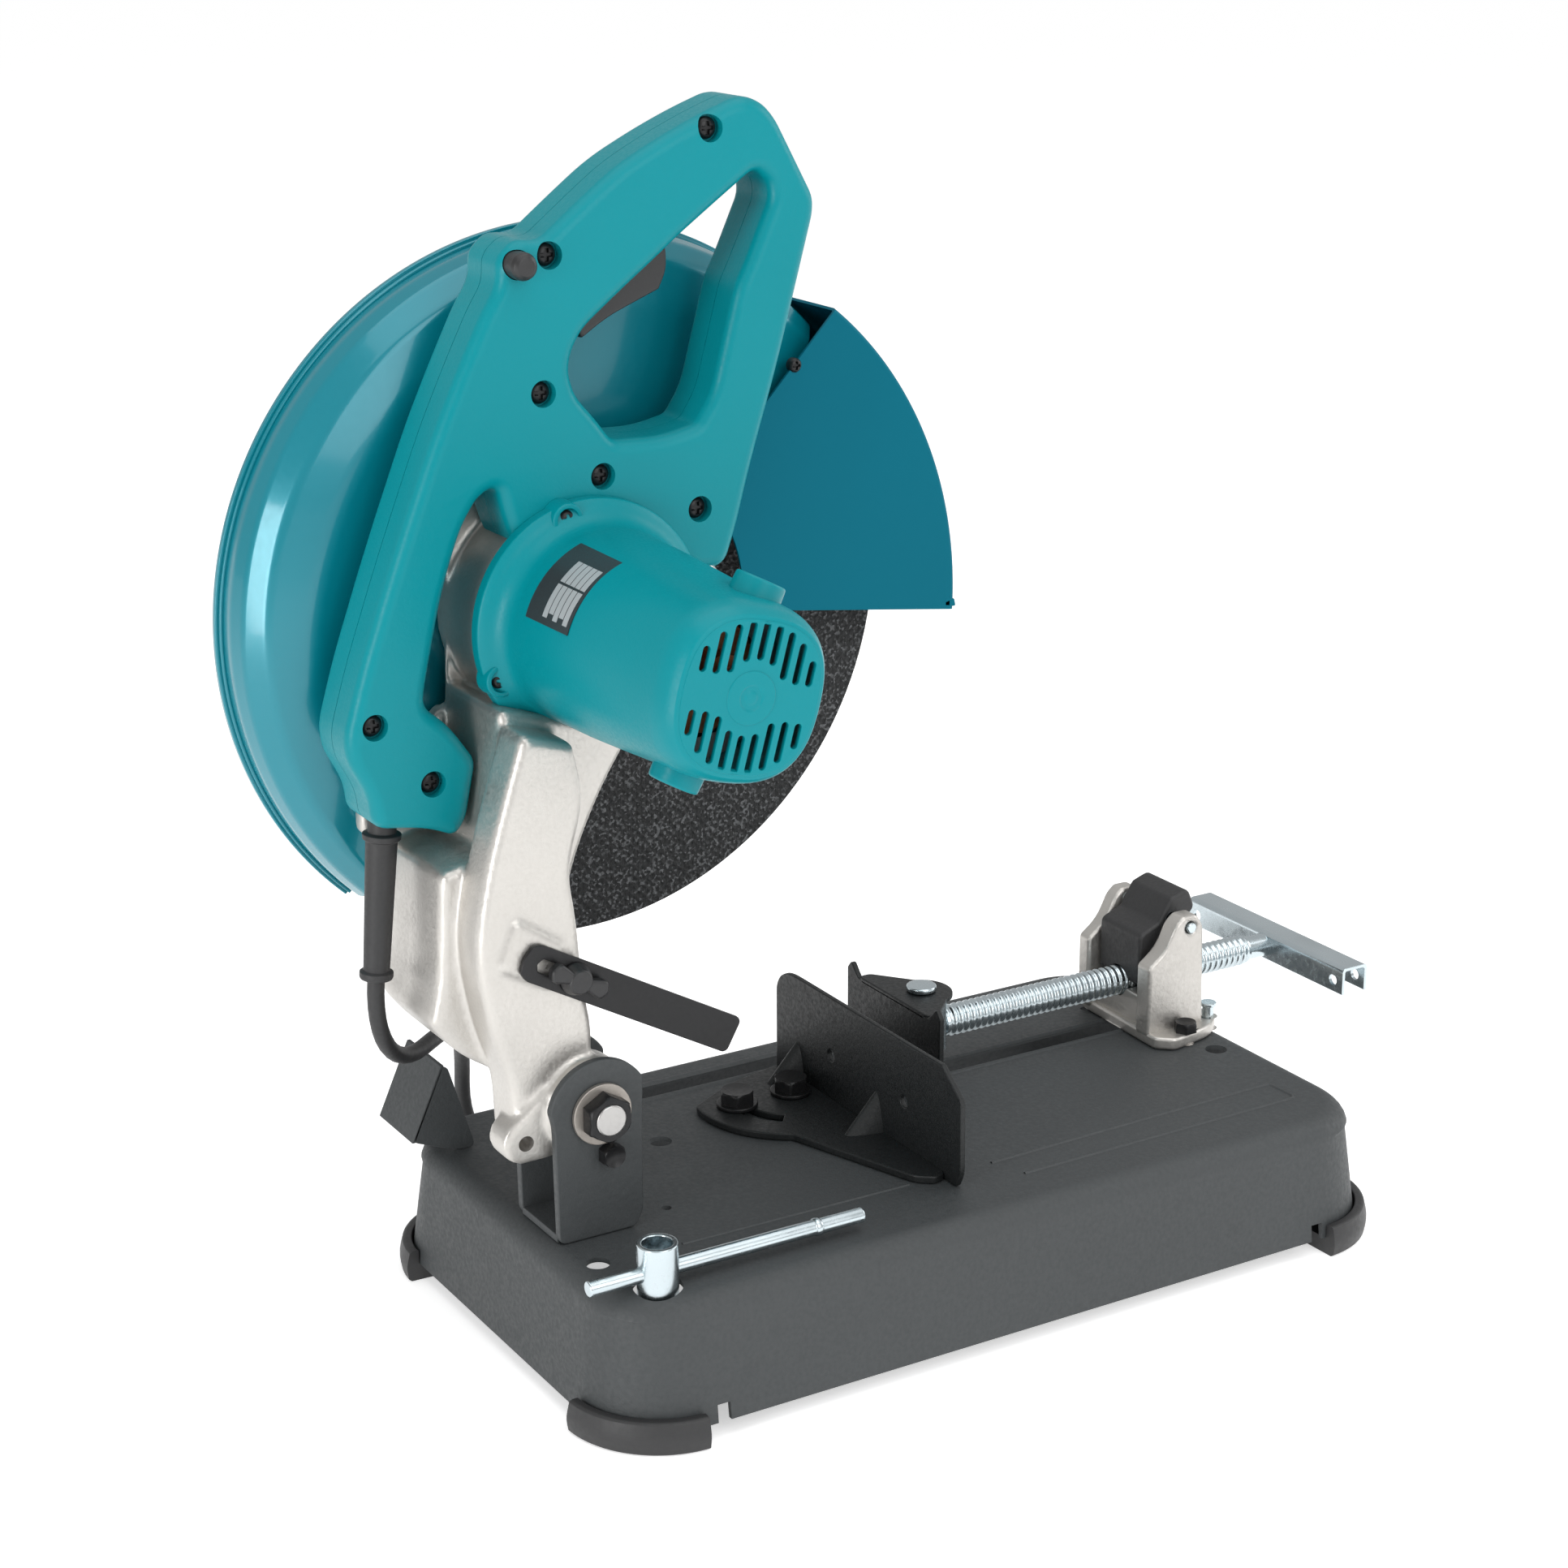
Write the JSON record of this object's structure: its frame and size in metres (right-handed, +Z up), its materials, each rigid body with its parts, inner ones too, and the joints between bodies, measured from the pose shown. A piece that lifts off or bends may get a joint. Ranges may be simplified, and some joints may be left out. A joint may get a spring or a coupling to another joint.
{
  "type": "abrasive chop saw",
  "caption": "Bench chop saw with a hinged motor head, guarded abrasive wheel, swivelling guide, quick-release screw vise and pressed steel base.",
  "frame": {"origin": "middle of the saw's footprint on the floor, the cord left out", "axes": "+Z up, -Y towards the operator, -X towards the motor"},
  "size_m": [0.4033, 0.6188, 0.602],
  "materials": {
    "charcoal_paint": "fine textured powder coat, satin",
    "rubber": "moulded, matte",
    "zinc": "bright zinc plate, slightly blue",
    "cast_aluminium": "cast, silver painted, fine grain",
    "teal_plastic": "moulded, satin",
    "teal_metal": "gloss paint on sheet steel",
    "steel": "machined",
    "black_oxide": "black oxide, satin",
    "black_plastic": "moulded, satin",
    "abrasive": "resin-bonded abrasive grit, sparkling",
    "copper_winding": "enamelled copper wire",
    "label": "blank printed foil"
  },
  "bodies": {
    "base": {"base_shell": "charcoal_paint", "foot_rear_near": "rubber", "foot_rear_far": "rubber", "foot_front_near": "rubber", "foot_front_far": "rubber", "hinge_bracket": "charcoal_paint", "hinge_bolt": "steel", "hinge_washer": "steel", "hinge_nut": "black_oxide", "stop_bolt": "black_oxide", "return_spring": "steel", "spark_plate": "charcoal_paint", "guide_pivot_bolt": "black_oxide", "guide_lock_bolt": "black_oxide", "vise_bracket": "cast_aluminium", "vise_bracket_screw": "black_oxide", "half_nut_pin": "zinc", "cord_coil": "rubber", "cord_plug": "rubber"},
    "head": {"head_arm": "cast_aluminium", "guard": "teal_metal", "motor_housing": "teal_plastic", "motor_label": "label", "field_stator": "steel", "brush_cap_top": "black_plastic", "brush_cap_bottom": "black_plastic", "handle_near": "teal_plastic", "handle_far": "teal_plastic", "switch_body": "black_plastic", "cord_relief": "rubber", "motor_screw_top": "black_oxide", "motor_screw_bottom": "black_oxide", "motor_screw_front": "black_oxide", "spindle_bearing_rear": "steel", "spindle_bearing_front": "steel", "armature_bearing_front": "steel", "armature_bearing_rear": "steel", "cord_tube": "rubber"},
    "wheel": {"spindle": "steel", "spindle_gear": "steel", "inner_flange": "steel", "cutting_wheel": "abrasive", "outer_flange": "steel", "wheel_bolt": "black_oxide"},
    "armature": {"armature": "copper_winding", "cooling_fan": "black_plastic"},
    "safety_cover": {"safety_cover": "teal_metal"},
    "trigger": {"trigger": "black_plastic"},
    "lock_button": {"lock_button": "black_plastic"},
    "stop_plate": {"stop_plate": "black_oxide"},
    "wing_bolt": {"wing_bolt": "black_oxide"},
    "guide": {"guide_plate": "charcoal_paint"},
    "vise_carriage": {"vise_swivel": "zinc"},
    "vise_screw": {"vise_screw": "zinc", "vise_handle": "zinc"},
    "vise_jaw": {"jaw_plate": "charcoal_paint"},
    "half_nut": {"half_nut_lever": "black_oxide"},
    "wrench": {"socket_wrench": "zinc"},
    "lock_pin": {"lock_pin": "zinc"}
  },
  "joints": [
    {"name": "head_pivot", "type": "hinge", "parent": "base", "child": "head", "pos_m": [-0.01498, 0.18566, 0.137], "axis": [1, 0, 0], "range_deg": [0, 46], "stiffness_Nm_per_rad": 14, "springref_deg": -91.67, "deforming": ["cord_tube", "return_spring"]},
    {"name": "wheel_spin", "type": "hinge", "parent": "head", "child": "wheel", "pos_m": [0.09502, 0.12166, 0.352], "axis": [1, 0, 0], "continuous": true},
    {"name": "armature_spin", "type": "hinge", "parent": "head", "child": "armature", "pos_m": [-0.05498, 0.15766, 0.363], "axis": [1, 0, 0], "continuous": true},
    {"name": "safety_cover_swing", "type": "hinge", "parent": "head", "child": "safety_cover", "pos_m": [0.09502, 0.12166, 0.352], "axis": [-1, 0, 0], "range_deg": [0, 45]},
    {"name": "trigger_squeeze", "type": "hinge", "parent": "head", "child": "trigger", "pos_m": [0.03302, 0.15066, 0.496], "axis": [-1, 0, 0], "range_deg": [0, 7], "stiffness_Nm_per_rad": 0.6, "springref_deg": -17.19},
    {"name": "lock_button_press", "type": "slide", "parent": "head", "child": "lock_button", "axis": [1, 0, 0], "range_m": [0, 0.004], "stiffness_N_per_m": 400, "springref_m": -0.004},
    {"name": "stop_plate_slide", "type": "slide", "parent": "head", "child": "stop_plate", "axis": [0, -0.8729, -0.4879], "range_m": [0, 0.018]},
    {"name": "wing_bolt_turn", "type": "hinge", "parent": "head", "child": "wing_bolt", "pos_m": [-0.03498, 0.19366, 0.205], "axis": [1, 0, 0], "range_deg": [0, 180]},
    {"name": "guide_swivel", "type": "hinge", "parent": "base", "child": "guide", "pos_m": [0.04642, 0.02486, 0.0726], "axis": [0, 0, -1], "range_deg": [0, 45]},
    {"name": "vise_feed", "type": "slide", "parent": "base", "child": "vise_carriage", "axis": [0, 1, 0], "range_m": [-0.095, 0.035]},
    {"name": "vise_screw_turn", "type": "hinge", "parent": "vise_carriage", "child": "vise_screw", "pos_m": [0.04102, -0.05034, 0.099], "axis": [0, -1, 0], "range_deg": [-3140, 8500]},
    {"name": "jaw_swivel", "type": "hinge", "parent": "vise_carriage", "child": "vise_jaw", "pos_m": [0.04102, -0.05434, 0.117], "axis": [0, 0, 1], "range_deg": [-8, 8]},
    {"name": "half_nut_flip", "type": "hinge", "parent": "base", "child": "half_nut", "pos_m": [0.04102, -0.20934, 0.137], "axis": [1, 0, 0], "range_deg": [0, 90]},
    {"name": "wrench_lift", "type": "slide", "parent": "base", "child": "wrench", "axis": [0, 0, 1], "range_m": [0, 0.06]},
    {"name": "lock_pin_lift", "type": "slide", "parent": "base", "child": "lock_pin", "axis": [0, 0, 1], "range_m": [0, 0.03]}
  ],
  "couplings": [
    {"joint": "armature_spin", "follows": "wheel_spin", "ratio": -5.5},
    {"joint": "vise_feed", "follows": "vise_screw_turn", "m_per_rad": -0.0006366}
  ]
}
